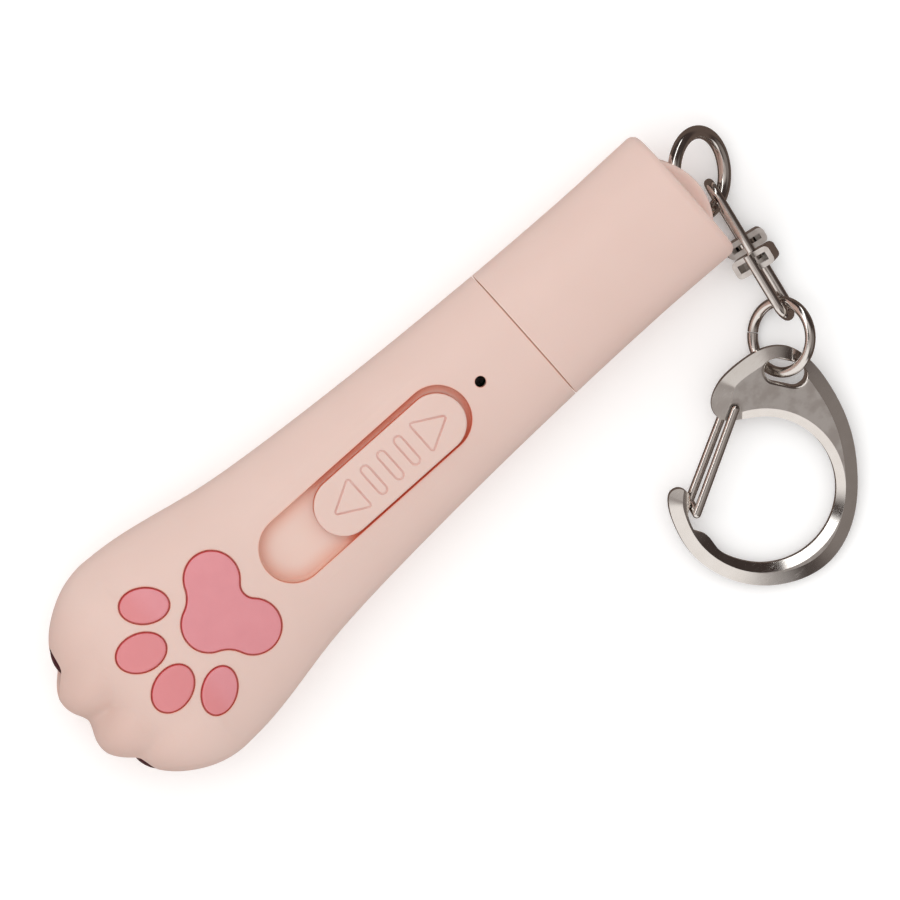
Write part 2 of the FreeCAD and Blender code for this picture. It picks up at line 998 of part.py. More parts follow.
def make_circuit_board():
    board = box(
        (board_front_x, -board_width / 2, board_bottom_z()),
        (board_rear_x, board_width / 2, board_top_z()),
    )
    corners = [edge for edge in board.Edges if edge.BoundBox.ZLength > board_thickness / 2]
    board = board.makeFillet(board_corner, corners)
    hole = rod(
        (rear_screw_x(), 0, board_bottom_z() - 1),
        (rear_screw_x(), 0, board_top_z() + 1),
        screw_shank_radius + shank_clearance,
    )
    return board.cut(hole)


def block_on_board(x, size):
    half_l, half_w, height = size[0] / 2, size[1] / 2, size[2]
    return box((x - half_l, -half_w, board_top_z()), (x + half_l, half_w, board_top_z() + height))


def make_battery_cell():
    cell = box(
        (battery_front_x(), -battery_width / 2, battery_bottom_z),
        (battery_rear_x(), battery_width / 2, battery_bottom_z + battery_height),
    )
    long_edges = [edge for edge in cell.Edges if edge.BoundBox.XLength > battery_length / 2]
    return cell.makeFillet(battery_corner, long_edges)


def make_battery_leads():
    """Two leads that bend up from the battery's end to the underside of the board."""
    start_x = battery_rear_x()
    z = board_bottom_z() - battery_lead_bend - 2 * battery_lead_radius
    bend = battery_lead_bend
    leads = []
    for y in (-battery_lead_y, battery_lead_y):
        corner_x = start_x + 3 * battery_lead_radius
        path = Part.Wire(
            [
                Part.makeLine(Vector(start_x, y, z), Vector(corner_x, y, z)),
                Part.Arc(
                    Vector(corner_x, y, z),
                    Vector(corner_x + bend * math.sqrt(0.5), y, z + bend * (1 - math.sqrt(0.5))),
                    Vector(corner_x + bend, y, z + bend),
                ).toShape(),
                Part.makeLine(
                    Vector(corner_x + bend, y, z + bend), Vector(corner_x + bend, y, board_bottom_z())
                ),
            ]
        )
        circle = Part.Circle(Vector(start_x, y, z), Vector(1, 0, 0), battery_lead_radius).toShape()
        leads.append(path.makePipeShell([Part.Wire(circle)], True, True))
    return Part.makeCompound(leads)


def make_shell_screws():
    screws = []
    for x in screw_places():
        head = rod((x, 0, screw_seat_z - screw_head_height), (x, 0, screw_seat_z), screw_head_radius)
        shank = rod((x, 0, screw_seat_z), (x, 0, screw_seat_z + screw_length), screw_shank_radius)
        screw = head.fuse(shank)
        for length, width in ((screw_slot_length, screw_slot_width), (screw_slot_width, screw_slot_length)):
            low = screw_seat_z - screw_head_height - 1
            slot = box(
                (x - length / 2, -width / 2, low),
                (x + length / 2, width / 2, low + 1 + screw_slot_depth),
            )
            screw = screw.cut(slot)
        screws.append(screw)
    return Part.makeCompound(screws)


def make_window(side):
    """Tinted window: domed front, round body and a flange behind the wall."""
    y, z = side * window_y, light_axis_z()
    rim_x = window_front_x + window_dome
    dome_radius = (window_radius**2 + window_dome**2) / (2 * window_dome)
    ball = Part.makeSphere(dome_radius, Vector(window_front_x + dome_radius, y, z))
    rear_x = window_flange_x + window_flange_thickness
    body = rod((window_front_x - 1, y, z), (rear_x, y, z), window_radius).common(
        ball.fuse(rod((rim_x, y, z), (rear_x + 1, y, z), 2 * window_radius))
    )
    flange = rod((window_flange_x, y, z), (rear_x, y, z), window_flange_radius)
    return body.fuse(flange).removeSplitter()


def make_laser_barrel():
    y, z = window_y, light_axis_z()
    rear_x = laser_front_x + laser_length
    barrel = rod((laser_front_x, y, z), (rear_x, y, z), laser_radius)
    return barrel.cut(rod((laser_front_x - 1, y, z), (rear_x + 1, y, z), laser_bore))


def make_laser_lens():
    y, z = window_y, light_axis_z()
    front_x = laser_front_x + laser_lens_setback
    disc = rod((front_x, y, z), (front_x + laser_lens_thickness, y, z), laser_bore)
    ball_radius = laser_lens_round * laser_bore
    return disc.common(Part.makeSphere(ball_radius, Vector(front_x + ball_radius, y, z)))


def make_laser_diode():
    y, z = window_y, light_axis_z()
    rear_x = laser_front_x + laser_length
    can = rod((rear_x - diode_length, y, z), (rear_x, y, z), laser_bore)
    disc = rod((rear_x, y, z), (rear_x + diode_rim_length, y, z), laser_radius)
    return can.fuse(disc).removeSplitter()


def make_laser_leads():
    start_x = laser_front_x + laser_length + diode_rim_length
    z = board_top_z() + lead_radius
    end_x = board_front_x + lead_overlap_on_board
    leads = []
    for y in (window_y - lead_spread - lead_radius, window_y - lead_radius):
        leads.append(rod((start_x, y, z), (end_x, y, z), lead_radius))
    return Part.makeCompound(leads)


def make_lamp_led():
    """Round lamp with a domed front, a rim and two flat legs that reach the board."""
    y, z = -window_y, light_axis_z()
    dome_x = lamp_front_x + lamp_radius
    rear_x = lamp_front_x + lamp_length
    lamp = Part.makeSphere(lamp_radius, Vector(dome_x, y, z)).fuse(
        [
            rod((dome_x, y, z), (rear_x, y, z), lamp_radius),
            rod((rear_x - lamp_rim_length, y, z), (rear_x, y, z), lamp_rim_radius),
        ]
    )
    for side in (-1, 1):
        leg_y = y + side * lamp_leg_spread
        leg = box(
            (rear_x - lamp_rim_length, leg_y - lamp_leg / 2, board_top_z()),
            (board_front_x + lead_overlap_on_board, leg_y + lamp_leg / 2, board_top_z() + lamp_leg),
        )
        lamp = lamp.fuse(leg)
    return lamp.removeSplitter()


def plug_tip_x():
    return neck_end_x() + plug_tip_beyond_neck


def make_usb_shell():
    """Folded metal sleeve of the charging plug, with four square windows."""
    z = plug_middle_z()
    half_w, half_h = plug_width / 2, plug_height / 2
    start_x, tip_x = plug_tip_x() - plug_length, plug_tip_x()
    sleeve = box((start_x, -half_w, z - half_h), (tip_x, half_w, z + half_h))
    inside = box(
        (start_x - 1, -half_w + plug_shell, z - half_h + plug_shell),
        (tip_x + 1, half_w - plug_shell, z + half_h - plug_shell),
    )
    sleeve = sleeve.cut(inside)
    for side in (-1, 1):
        y = side * plug_window_y
        hole = box(
            (tip_x - plug_window_from_tip - plug_window[0], y - plug_window[1] / 2, z - plug_height),
            (tip_x - plug_window_from_tip, y + plug_window[1] / 2, z + plug_height),
        )
        sleeve = sleeve.cut(hole)
    return sleeve


def tongue_bottom_z():
    return plug_middle_z() + plug_height / 2 - plug_shell - tongue_thickness


def make_usb_tongue():
    half_w = plug_width / 2 - plug_shell
    start_x, tip_x = plug_tip_x() - plug_length, plug_tip_x() - tongue_setback
    top = plug_middle_z() + plug_height / 2 - plug_shell
    bottom = plug_middle_z() - plug_height / 2 + plug_shell
    tongue = box((start_x, -half_w, tongue_bottom_z()), (tip_x, half_w, top))
    block = box((start_x, -half_w, bottom), (start_x + tongue_block_length, half_w, top))
    return tongue.fuse(block).removeSplitter()


def make_usb_contacts():
    """Four flat contacts under the tongue."""
    tip_x = plug_tip_x() - tongue_setback - contact_setback
    top = tongue_bottom_z()
    strips = []
    for k in range(contact_count):
        y = (k - (contact_count - 1) / 2) * contact_pitch
        strips.append(
            box(
                (tip_x - contact_length, y - contact_width / 2, top - contact_thickness),
                (tip_x, y + contact_width / 2, top),
            )
        )
    return Part.makeCompound(strips)


def ring_directions(turn, tilt, far_side_high):
    """Level direction across a tilted ring, and the direction down or up its slope."""
    turn, tilt = math.radians(turn), math.radians(tilt)
    level = Vector(math.cos(turn), math.sin(turn), 0)
    sign = 1 if far_side_high else -1
    slope = Vector(
        math.cos(tilt) * math.sin(turn), -math.cos(tilt) * math.cos(turn), sign * math.sin(tilt)
    )
    return level, slope


def lug_ring_solid(wire):
    level, slope = ring_directions(lug_ring_turn, lug_ring_tilt, False)
    centre = Vector(lug_ring_x, lug_ring_y, lug_ring_z)
    return Part.makeTorus(lug_ring_radius, wire, centre, level.cross(slope))


def make_lug():
    """Low rounded lug on the cap's end, drawn as a slice of a wide round."""
    radius = (lug_half_width**2 + lug_reach**2) / (2 * lug_reach)
    centre_x = body_end_x + lug_reach - radius
    disc = rod((centre_x, 0, lug_low_z), (centre_x, 0, lug_high_z), radius)
    rims = [edge for edge in disc.Edges if edge.Length > radius and edge.BoundBox.ZLength < 0.01]
    disc = disc.makeFillet(lug_edge, rims)
    return disc.common(
        box((body_end_x - lug_root, -radius, 0), (body_end_x + radius, radius, over_everything()))
    )


def lug_channel():
    """Hole through the lug, opened as far as the ring swings in it."""
    pivot = Vector(lug_pivot_x, lug_pivot_y, 0)
    cutters = []
    for k in range(lug_swing_steps):
        cutter = lug_ring_solid(lug_ring_wire + lug_channel_play)
        cutter.rotate(pivot, Vector(0, 0, 1), lug_ring_swing * k / (lug_swing_steps - 1))
        cutters.append(cutter)
    return cutters


def make_end_cap():
    cap = cap_half(1).fuse(cap_half(-1)).fuse(make_lug())
    bore = section_prism(cap_wall, cap_seam_x - 1, body_end_x - cap_end_wall)
    cap = cap.cut(bore)
    for cutter in lug_channel():
        cap = cap.cut(cutter)
    return cap.cut(floor_space()).removeSplitter()


def swivel_axis():
    start = Vector(swivel_start_x, swivel_start_y, swivel_z)
    end = Vector(swivel_end_x, swivel_end_y, swivel_z)
    return start, end


def wire_loop(loop_half, length):
    """Wire bent to a narrow U along X, its round end at the origin, its legs apart in Z."""
    centre_x = swivel_wire + loop_half
    ring = Part.makeTorus(loop_half, swivel_wire, Vector(centre_x, 0, 0), Vector(0, 1, 0))
    reach = 2 * (loop_half + swivel_wire)
    bend = ring.common(box((-reach, -reach, -reach), (centre_x, reach, reach)))
    legs = [
        rod((centre_x, 0, side * loop_half), (length, 0, side * loop_half), swivel_wire)
        for side in (-1, 1)
    ]
    return bend.fuse(legs)


def hoop_depth_half(loop_half):
    return loop_half - swivel_wire + hoop_overlap


def rivet_head_radius(loop_half):
    """Room for the rivet's head between a hoop's floor and the wire above it."""
    return min(loop_half - swivel_wire, hoop_depth_half(loop_half) - hoop_floor) - head_under_wire


def make_swivel_half(loop_half, length, hoop_height, hole_radius):
    """Wire loop joined to a hoop closed below, with the rivet's hole in the hoop's end wall."""
    depth_half = hoop_depth_half(loop_half)
    hoop_start = length - hoop_height
    half = hoop_width / 2
    hoop = box((hoop_start, -half, -depth_half), (length, half, depth_half))
    corners = [edge for edge in hoop.Edges if edge.BoundBox.ZLength > depth_half]
    hoop = hoop.makeFillet(hoop_corner, corners)
    inner = box(
        (hoop_start + hoop_wall, -half + hoop_wall, -depth_half + hoop_floor),
        (length - hoop_wall, half - hoop_wall, depth_half + 1),
    )
    hoop = hoop.cut(inner)
    hole = rod((length - 2 * hoop_wall, 0, 0), (length + 1, 0, 0), hole_radius)
    return wire_loop(loop_half, length).fuse(hoop).cut(hole).removeSplitter()


def place_on_swivel(shape, from_start, roll):
    """Turn a part drawn along X onto the swivel's axis, from its start or from its end."""
    start, end = swivel_axis()
    origin, toward = (start, end) if from_start else (end, start)
    direction = (toward - origin).normalize()
    across = Vector(0, 0, 1).cross(direction)
    turn = FreeCAD.Rotation(direction, across, Vector(0, 0, 1), "XZY")
    shape = shape.copy()
    shape.rotate(Vector(0, 0, 0), Vector(1, 0, 0), roll)
    shape.Placement = FreeCAD.Placement(origin, turn).multiply(shape.Placement)
    return shape


def swivel_length():
    start, end = swivel_axis()
    return (end - start).Length


def lower_half_length():
    return swivel_length() - upper_half_length - hoop_gap


def make_swivel_upper():
    half = make_swivel_half(upper_loop_half, upper_half_length, upper_hoop_height, rivet_radius)
    return place_on_swivel(half, True, 0)


def make_swivel_lower():
    hole = rivet_radius + rivet_fit
    half = make_swivel_half(lower_loop_half, lower_half_length(), lower_hoop_height, hole)
    return place_on_swivel(half, False, lower_loop_roll)


def make_swivel_rivet():
    """Rivet with a head inside each hoop, tight in the upper one."""
    upper_inside = upper_half_length - hoop_wall
    lower_inside = upper_half_length + hoop_gap + hoop_wall + rivet_fit
    rivet = rod((upper_inside, 0, 0), (lower_inside, 0, 0), rivet_radius)
    heads = [(upper_inside - rivet_head_height, upper_loop_half), (lower_inside, lower_loop_half)]
    rivet = rivet.fuse(
        [
            rod((start, 0, 0), (start + rivet_head_height, 0, 0), rivet_head_radius(loop_half))
            for start, loop_half in heads
        ]
    )
    return place_on_swivel(rivet.removeSplitter(), True, 0)


def make_jump_ring():
    level, slope = ring_directions(jump_ring_turn, jump_ring_tilt, True)
    centre = Vector(jump_ring_x, jump_ring_y, jump_ring_z)
    ring = Part.makeTorus(jump_ring_radius, jump_ring_wire, centre, level.cross(slope))
    reach = jump_ring_radius + 2 * jump_ring_wire
    slit = box((0, -jump_ring_split / 2, -reach), (reach, jump_ring_split / 2, reach))
    slit.rotate(Vector(0, 0, 0), Vector(0, 0, 1), jump_ring_split_turn)
    slit.translate(centre)
    return ring.cut(slit)


def on_hook_circle(angle):
    turn = math.radians(angle)
    return (
        hook_inner_x + hook_inner_radius * math.cos(turn),
        hook_inner_y + hook_inner_radius * math.sin(turn),
    )


def hook_nose():
    return [
        (76.45, -33.6),
        (76.8, -32.4),
        (77.4, -31.4),
        (78.4, -30.8),
        (79.05, -29.7),
        (78.8, -28.5),
        (77.6, -27.9),
    ]


def hook_outer():
    """Outer side from the nose round to the top of the bulb."""
    return [
        (76.1, -29.1),
        (75.0, -31.5),
        (74.2, -35.5),
        (74.8, -39.6),
        (77.2, -44.1),
        (81.3, -47.5),
        (86.5, -48.95),
        (92.4, -47.2),
        (97.25, -42.75),
        (100.7, -37.1),
        (102.35, -30.9),
        (102.5, -26.95),
        (101.45, -23.75),
        (98.9, -21.8),
        (95.3, -21.1),
        (90.9, -21.5),
        (88.8, -23.1),
    ]


def smooth_wire(points):
    curve = Part.BSplineCurve()
    curve.interpolate(Points=[Vector(x, y, 0) for x, y in points], PeriodicFlag=True)
    return Part.Wire(curve.toShape())


def hook_outline():
    """Outline of the hook: nose, outer side, bulb, and the round inside."""
    bulb = [(88.6, -25.0), (89.7, -26.25)]
    inside_start, inside_turn, inside_steps = 60.0, 246.0, 14
    inside = [
        on_hook_circle(inside_start - inside_turn * k / inside_steps) for k in range(inside_steps + 1)
    ]
    return smooth_wire(hook_nose() + hook_outer() + bulb + inside)


def hook_slopes(hook):
    """Slope both faces of the hook down to its outer side and to its round inside."""
    half = hook_thickness / 2
    width, depth = hook_outer_slope
    grown = []
    for x, y in hook_nose()[-1:] + hook_outer():
        from_middle = math.hypot(x - hook_inner_x, y - hook_inner_y)
        factor = 1 + width / from_middle
        grown.append(
            (hook_inner_x + factor * (x - hook_inner_x), hook_inner_y + factor * (y - hook_inner_y))
        )
    around = prism(smooth_wire(grown), -half, half)
    edges = [edge for edge in around.Edges if edge.BoundBox.ZLength < 0.01]
    around = around.makeChamfer(2 * depth, 2 * width, edges)
    hook = hook.common(around.Solids[0])
    width, depth = hook_inner_slope
    for side in (1, -1):
        cone = Part.makeCone(
            hook_inner_radius - width,
            hook_inner_radius + 2 * width,
            3 * depth,
            Vector(hook_inner_x, hook_inner_y, side * (half - 2 * depth)),
            Vector(0, 0, side),
        )
        hook = hook.cut(cone)
    return hook


def slot_outline(grow):
    wire = stadium(-slot_length / 2 - grow, slot_length + 2 * grow, slot_width + 2 * grow)
    wire.rotate(Vector(0, 0, 0), Vector(0, 0, 1), slot_turn)
    wire.translate(Vector(slot_x, slot_y, 0))
    return wire


def gate_points():
    """Corners of the bent gate wire: front pin, front leg, cross piece, rear leg, rear pin."""
    z = gate_leg_z
    return [
        Vector(front_pin[0], front_pin[1], z - gate_pin_reach),
        Vector(front_pin[0], front_pin[1], z),
        Vector(front_leg_end[0], front_leg_end[1], z),
        Vector(rear_leg_end[0], rear_leg_end[1], -z),
        Vector(rear_pin[0], rear_pin[1], -z),
        Vector(rear_pin[0], rear_pin[1], gate_pin_reach - z),
    ]


def strip(start, end, half, low_z, high_z):
    """Upright walled strip with round ends, from start to end."""
    dx, dy = end[0] - start[0], end[1] - start[1]
    wire = stadium(-half, math.hypot(dx, dy) + 2 * half, 2 * half)
    wire.rotate(Vector(0, 0, 0), Vector(0, 0, 1), math.degrees(math.atan2(dy, dx)))
    wire.translate(Vector(start[0], start[1], 0))
    return prism(wire, low_z, high_z)


def opened(shape, angle):
    """The shape turned about the gate's front pin by an opening angle."""
    shape = shape.copy()
    shape.rotate(Vector(front_pin[0], front_pin[1], 0), Vector(0, 0, 1), angle)
    return shape


def gate_cutters():
    """Pin holes, the pockets that the legs lie and swing in, and the notch in the nose."""
    out = hook_thickness
    hole = gate_wire + gate_pin_fit
    pin_end = gate_leg_z - gate_pin_reach - gate_pin_fit
    cutters = [rod((*front_pin, pin_end), (*front_pin, out), hole)]
    rear_swung = opened(Part.Vertex(Vector(*rear_pin, 0)), gate_open_angle).Point
    slot_half = gate_wire + gate_pocket_play / 2
    cutters.append(strip(rear_pin, (rear_swung.x, rear_swung.y), slot_half, -out, -pin_end))
    pocket_floor = gate_leg_z - gate_wire - gate_pin_fit
    half = gate_wire + gate_pocket_play
    for k in range(gate_pocket_steps):
        angle = gate_open_angle * k / (gate_pocket_steps - 1)
        cutters.append(opened(strip(front_pin, front_leg_end, half, pocket_floor, out), angle))
        cutters.append(opened(strip(rear_pin, rear_leg_end, half, -out, -pocket_floor), angle))
    front_end, rear_end = gate_points()[2], gate_points()[3]
    notch = gate_wire + gate_notch_play
    cutters.append(rod(front_end, rear_end, notch))
    cutters += [Part.makeSphere(notch, point) for point in (front_end, rear_end)]
    return cutters


def tip_hook(shape):
    """Lift a part of the hook from the level drawing to the hook's resting tilt."""
    shape = shape.copy()
    shape.translate(Vector(0, 0, hook_thickness / 2))
    shape.rotate(Vector(0, hook_tip_y, 0), Vector(1, 0, 0), hook_tip_angle)
    shape.translate(Vector(hook_shift_x, hook_shift_y, 0))
    return shape


def make_snap_hook():
    half = hook_thickness / 2
    hook = prism(hook_outline(), -half, half)
    rims = [edge for edge in hook.Edges if edge.BoundBox.ZLength < 0.01]
    hook = hook.makeFillet(hook_edge, rims)
    slot = prism(slot_outline(0.0), -half - 1, half + 1)
    hook = hook.cut(slot)
    rims = [
        edge
        for edge in hook.Edges
        if edge.BoundBox.ZLength < 0.01
        and abs(abs(edge.BoundBox.ZMin) - half) < 0.01
        and math.hypot(edge.BoundBox.Center.x - slot_x, edge.BoundBox.Center.y - slot_y) < slot_length / 2
    ]
    hook = hook_slopes(hook.makeFillet(slot_edge, rims))
    for cutter in gate_cutters():
        hook = hook.cut(cutter)
    return tip_hook(hook)


def make_wire_gate():
    """Wire bent to a long U: two legs, a cross piece at the nose, and a pin at each free end."""
    points = gate_points()
    pieces = [rod(start, end, gate_wire) for start, end in zip(points, points[1:])]
    pieces += [Part.makeSphere(gate_wire, point) for point in points[1:-1]]
    gate = pieces[0].fuse(pieces[1:])
    return tip_hook(gate.removeSplitter())


def save(name, shape):
    shape = shape.copy()
    shape.translate(Vector(-rest_middle, 0, 0))
    shape.exportStep("parts/" + name + ".step")


def main():
    os.makedirs("parts", exist_ok=True)
    parts = {
        "upper_shell": make_upper_shell(),
        "lower_shell": make_lower_shell(),
        "shell_screws": make_shell_screws(),
        "slide_button": make_slide_button(),
        "button_clip": make_button_clip(),
        "switch_body": make_switch_body(),
        "switch_lever": make_switch_lever(),
        "circuit_board": make_circuit_board(),
        "charge_chip": block_on_board(chip_x, chip_size),
        "charge_light": block_on_board(light_hole_x(), charge_light_size),
        "battery_cell": make_battery_cell(),
        "battery_leads": make_battery_leads(),
        "laser_window": make_window(1),
        "lamp_window": make_window(-1),
        "laser_barrel": make_laser_barrel(),
        "laser_lens": make_laser_lens(),
        "laser_diode": make_laser_diode(),
        "laser_leads": make_laser_leads(),
        "lamp_led": make_lamp_led(),
        "usb_shell": make_usb_shell(),
        "usb_tongue": make_usb_tongue(),
        "usb_contacts": make_usb_contacts(),
        "end_cap": make_end_cap(),
        "lug_ring": lug_ring_solid(lug_ring_wire),
        "swivel_upper": make_swivel_upper(),
        "swivel_lower": make_swivel_lower(),
        "swivel_rivet": make_swivel_rivet(),
        "jump_ring": make_jump_ring(),
        "snap_hook": make_snap_hook(),
        "wire_gate": make_wire_gate(),
    }
    parts.update(make_pads())
    for name in ("slide_button", "button_clip", "switch_body", "switch_lever"):
        parts[name].translate(Vector(0, slide_y, 0))
    for name, shape in parts.items():
        save(name, shape)
        print(name, "solids", len(shape.Solids), "valid", shape.isValid(), "volume", round(shape.Volume, 2))


main()
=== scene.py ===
import math

import bpy
from mathutils import Matrix, Vector

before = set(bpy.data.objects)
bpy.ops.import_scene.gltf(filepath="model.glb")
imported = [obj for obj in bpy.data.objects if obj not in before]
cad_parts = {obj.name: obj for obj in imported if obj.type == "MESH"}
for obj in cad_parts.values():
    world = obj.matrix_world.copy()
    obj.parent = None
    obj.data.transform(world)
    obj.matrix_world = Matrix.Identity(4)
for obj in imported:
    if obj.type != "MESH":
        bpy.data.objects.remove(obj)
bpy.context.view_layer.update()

# Looks of the cat light teaser: peach plastic, pink pads, dark windows, plated chain.
# The finishes are laid out in millimetres, with X along the toy and Z up. The scene is in metres.

mm = 0.001

# Places and angles on the toy that the finishes follow.
seam_height = 9.6        # parting line of the housing halves, up from the floor
recess_middle = 6.6      # middle of the button's recess, along X
recess_straight = 12.5   # half length of the recess without its round ends
cap_seam = 34.8          # where the cap meets the housing, along X
shoulder = (15.6, 16.6)  # painted red shade on steep walls sets in between these heights and stays above
plate_lean = 6.5         # degrees that the hook leans over its length
swivel_roll = 20.0       # degrees that the swivel's lower half is turned about its length


class Shade:
    """A value over a surface. Sums, products and differences of it add Math nodes."""

    def __init__(self, finish, socket):
        self.finish = finish
        self.socket = socket

    def joined(self, operation, first, second):
        return self.finish.node("ShaderNodeMath", {"operation": operation}, {0: first, 1: second})

    def __add__(self, other):
        return self.joined("ADD", self, other)

    def __radd__(self, other):
        return self.joined("ADD", other, self)

    def __sub__(self, other):
        return self.joined("SUBTRACT", self, other)

    def __rsub__(self, other):
        return self.joined("SUBTRACT", other, self)

    def __mul__(self, other):
        return self.joined("MULTIPLY", self, other)

    def __rmul__(self, other):
        return self.joined("MULTIPLY", other, self)

    def __abs__(self):
        return self.finish.node("ShaderNodeMath", {"operation": "ABSOLUTE"}, {0: self})

    def most(self, other):
        return self.joined("MAXIMUM", self, other)

    def root(self):
        return self.joined("POWER", self, 0.5)

    def folded(self, width):
        """Goes up to width and back down to 0, over and over."""
        return self.joined("PINGPONG", self, width)

    def rising(self, low, high):
        """0 below low, 1 above high, smooth between."""
        return self.finish.node(
            "ShaderNodeMapRange", {"interpolation_type": "SMOOTHSTEP"}, {0: self, 1: low, 2: high}
        )


class Nodes:
    """A node tree under construction."""

    def __init__(self, tree):
        self.tree = tree

    def node(self, kind, settings=None, inputs=None, output=0):
        made = self.tree.nodes.new(kind)
        for name, value in (settings or {}).items():
            setattr(made, name, value)
        for name, value in (inputs or {}).items():
            self.feed(made.inputs[name], value)
        return made if output is None else Shade(self, made.outputs[output])

    def feed(self, socket, value):
        if isinstance(value, Shade):
            self.tree.links.new(value.socket, socket)
        else:
            socket.default_value = value

    def blend(self, mask, under, over):
        made = self.tree.nodes.new("ShaderNodeMix")
        made.data_type = "RGBA"
        self.feed(made.inputs[0], mask)
        self.feed(made.inputs[6], under)
        self.feed(made.inputs[7], over)
        return Shade(self, made.outputs[2])

    def likeness(self, direction, other):
        """Dot product of two directions."""
        settings = {"operation": "DOT_PRODUCT"}
        return self.node("ShaderNodeVectorMath", settings, {0: direction, 1: other}, "Value")


class Finish(Nodes):
    """A material under construction."""

    def __init__(self, name):
        self.material = bpy.data.materials.new(name)
        self.material.use_nodes = True
        super().__init__(self.material.node_tree)
        self.shader = self.tree.nodes["Principled BSDF"]

    def surface(self, **values):
        """Feeds the shader; words in its socket names are joined with underscores here."""
        for name, value in values.items():
            self.feed(self.shader.inputs[name.replace("_", " ")], value)

    def place(self):
        """Where a point is on the object at rest, in millimetres."""
        here = self.node("ShaderNodeTexCoord", output="Object")
        return self.node("ShaderNodeVectorMath", {"operation": "SCALE"}, {0: here, "Scale": 1 / mm})

    def along(self, axis):
        """How far along X, Y or Z a point is, in millimetres."""
        return self.node("ShaderNodeSeparateXYZ", None, {0: self.place()}, axis)

    def facing(self, direction):
        """How far the surface faces a direction of the object: 1 towards it, 0 square to it."""
        return self.likeness(self.node("ShaderNodeTexCoord", output="Normal"), direction)

    def speckle(self, per_mm, detail=3.0, stretch=(1.0, 1.0, 1.0)):
        """Soft random variation from 0 to 1, this many features per millimetre."""
        spot = self.node("ShaderNodeVectorMath", {"operation": "MULTIPLY"}, {0: self.place(), 1: stretch})
        return self.node("ShaderNodeTexNoise", None, {"Vector": spot, "Scale": per_mm, "Detail": detail})

    def worn_edge(self, radius):
        """1 along sharp edges, fading to 0 this many millimetres from them."""
        softened = self.node("ShaderNodeBevel", {"samples": 4}, {"Radius": radius * mm})
        true_normal = self.node("ShaderNodeNewGeometry", output="Normal")
        return 1 - self.likeness(softened, true_normal).rising(0.82, 0.99)

    def crevice(self, reach):
        """1 deep in a gap or a corner, 0 on open faces; reach in millimetres."""
        openness = self.node("ShaderNodeAmbientOcclusion", {"samples": 8}, {"Distance": reach * mm}, "AO")
        return 1 - openness.rising(0.15, 0.8)

    def recess_light_and_shade(self, base, height, crevice):
        """Colour of the floor of the button's recess with painted light and shade: painted paler in its
        middle, painted redder shade at its walls and a dark red painted shadow beside the button.
        """
        from_middle = self.along("X") - recess_middle
        beyond_end = (abs(from_middle) - recess_straight).most(0.0)
        across = self.along("Y")
        from_spine = (beyond_end * beyond_end + across * across).root()
        floor = (1 - from_spine.rising(4.5, 4.65)) * height.rising(16.5, 17) * (1 - height.rising(17.6, 18.2))
        # painted light: the recess floor is painted paler
        base = self.blend(floor * 0.6, base, colour(0.8, 0.6, 0.52))
        # painted shade: redder towards the recess walls
        base = self.blend(from_spine.rising(2.0, 4.6) * floor * 0.42, base, colour(0.76, 0.3, 0.17))
        # painted shadow: dark red in the narrow gap beside the button
        button_gap_shadow = from_spine.rising(3.6, 4.0) * floor * crevice
        return self.blend(button_gap_shadow * 0.8, base, colour(0.68, 0.17, 0.07))

    def relief(self, height, depth, strength=1.0):
        """Normal of a surface that rises by depth millimetres where height is 1."""
        return self.node(
            "ShaderNodeBump", None, {"Height": height, "Distance": depth * mm, "Strength": strength}
        )


def colour(red, green, blue):
    return (red, green, blue, 1.0)


no_glow = colour(0, 0, 0)


def peach_plastic(name, hollow=False):
    """Matte moulded plastic with painted red shade on its steep walls, painted shade on the toes and painted
    glow in its gaps; the hollow halves have a parting line too, with painted light and shade in the button's
    recess and painted red shade along their top edges.
    """
    finish = Finish(name)
    cloud = finish.speckle(0.12, 2.0)
    grain = finish.speckle(9.0, 2.0)
    base = finish.blend(cloud, colour(0.7, 0.51, 0.45), colour(0.73, 0.54, 0.48))
    base = finish.blend(grain.rising(0.62, 0.8) * 0.3, base, colour(0.66, 0.44, 0.38))
    along, height = finish.along("X"), finish.along("Z")
    # painted shade: the toes are painted darker towards the front of the paw
    toes = 1 - along.rising(-41, -29)
    base = finish.blend(toes * 0.5, base, colour(0.58, 0.37, 0.31))
    on_top = height.rising(*shoulder)
    # painted shade: steep walls on top are painted red, for the warm shade in grooves and the recess
    wall_shade = (1 - abs(finish.facing((0, 0, 1))).rising(0.15, 0.55)) * on_top
    wall_shade = wall_shade * (1 - along.rising(25, 27))
    base = finish.blend(wall_shade, base, colour(0.63, 0.13, 0.05))
    crevice = finish.crevice(1.2)
    if hollow:
        base = finish.recess_light_and_shade(base, height, crevice)
    bumps = grain
    if hollow:
        line = 1 - abs(height - seam_height).rising(0.03, 0.09)
        base = finish.blend(line * 0.45, base, colour(0.42, 0.24, 0.2))
        bumps = bumps - line * 6
    edge = finish.worn_edge(0.3)
    rubbed = edge * finish.speckle(0.8).rising(0.35, 0.6)
    base = finish.blend(rubbed * 0.35, base, colour(0.8, 0.63, 0.57))
    # painted shade: the top edges of the hollow halves are painted red
    if hollow:
        base = finish.blend(edge * on_top * 0.6, base, colour(0.74, 0.27, 0.16))
    # painted glow: gaps in the steep walls glow red, though the plastic is no lamp
    painted_glow = finish.blend(crevice * wall_shade, no_glow, colour(0.15, 0.03, 0.017))
    # painted glow: the gap at the cap seam glows pale
    painted_seam_glow = crevice * (1 - abs(along - cap_seam).rising(0.1, 0.3))
    painted_glow = finish.blend(painted_seam_glow, painted_glow, colour(0.11, 0.07, 0.052))
    finish.surface(
        Base_Color=base,
        Emission_Color=painted_glow,
        Emission_Strength=1.0,
        Roughness=0.44 + grain * 0.12 - rubbed * 0.12,
        Normal=finish.relief(bumps, 0.012, 0.5),
        Subsurface_Weight=0.12,
        Subsurface_Radius=(1.0, 0.45, 0.3),
        Subsurface_Scale=1.6 * mm,
    )
    return finish.material


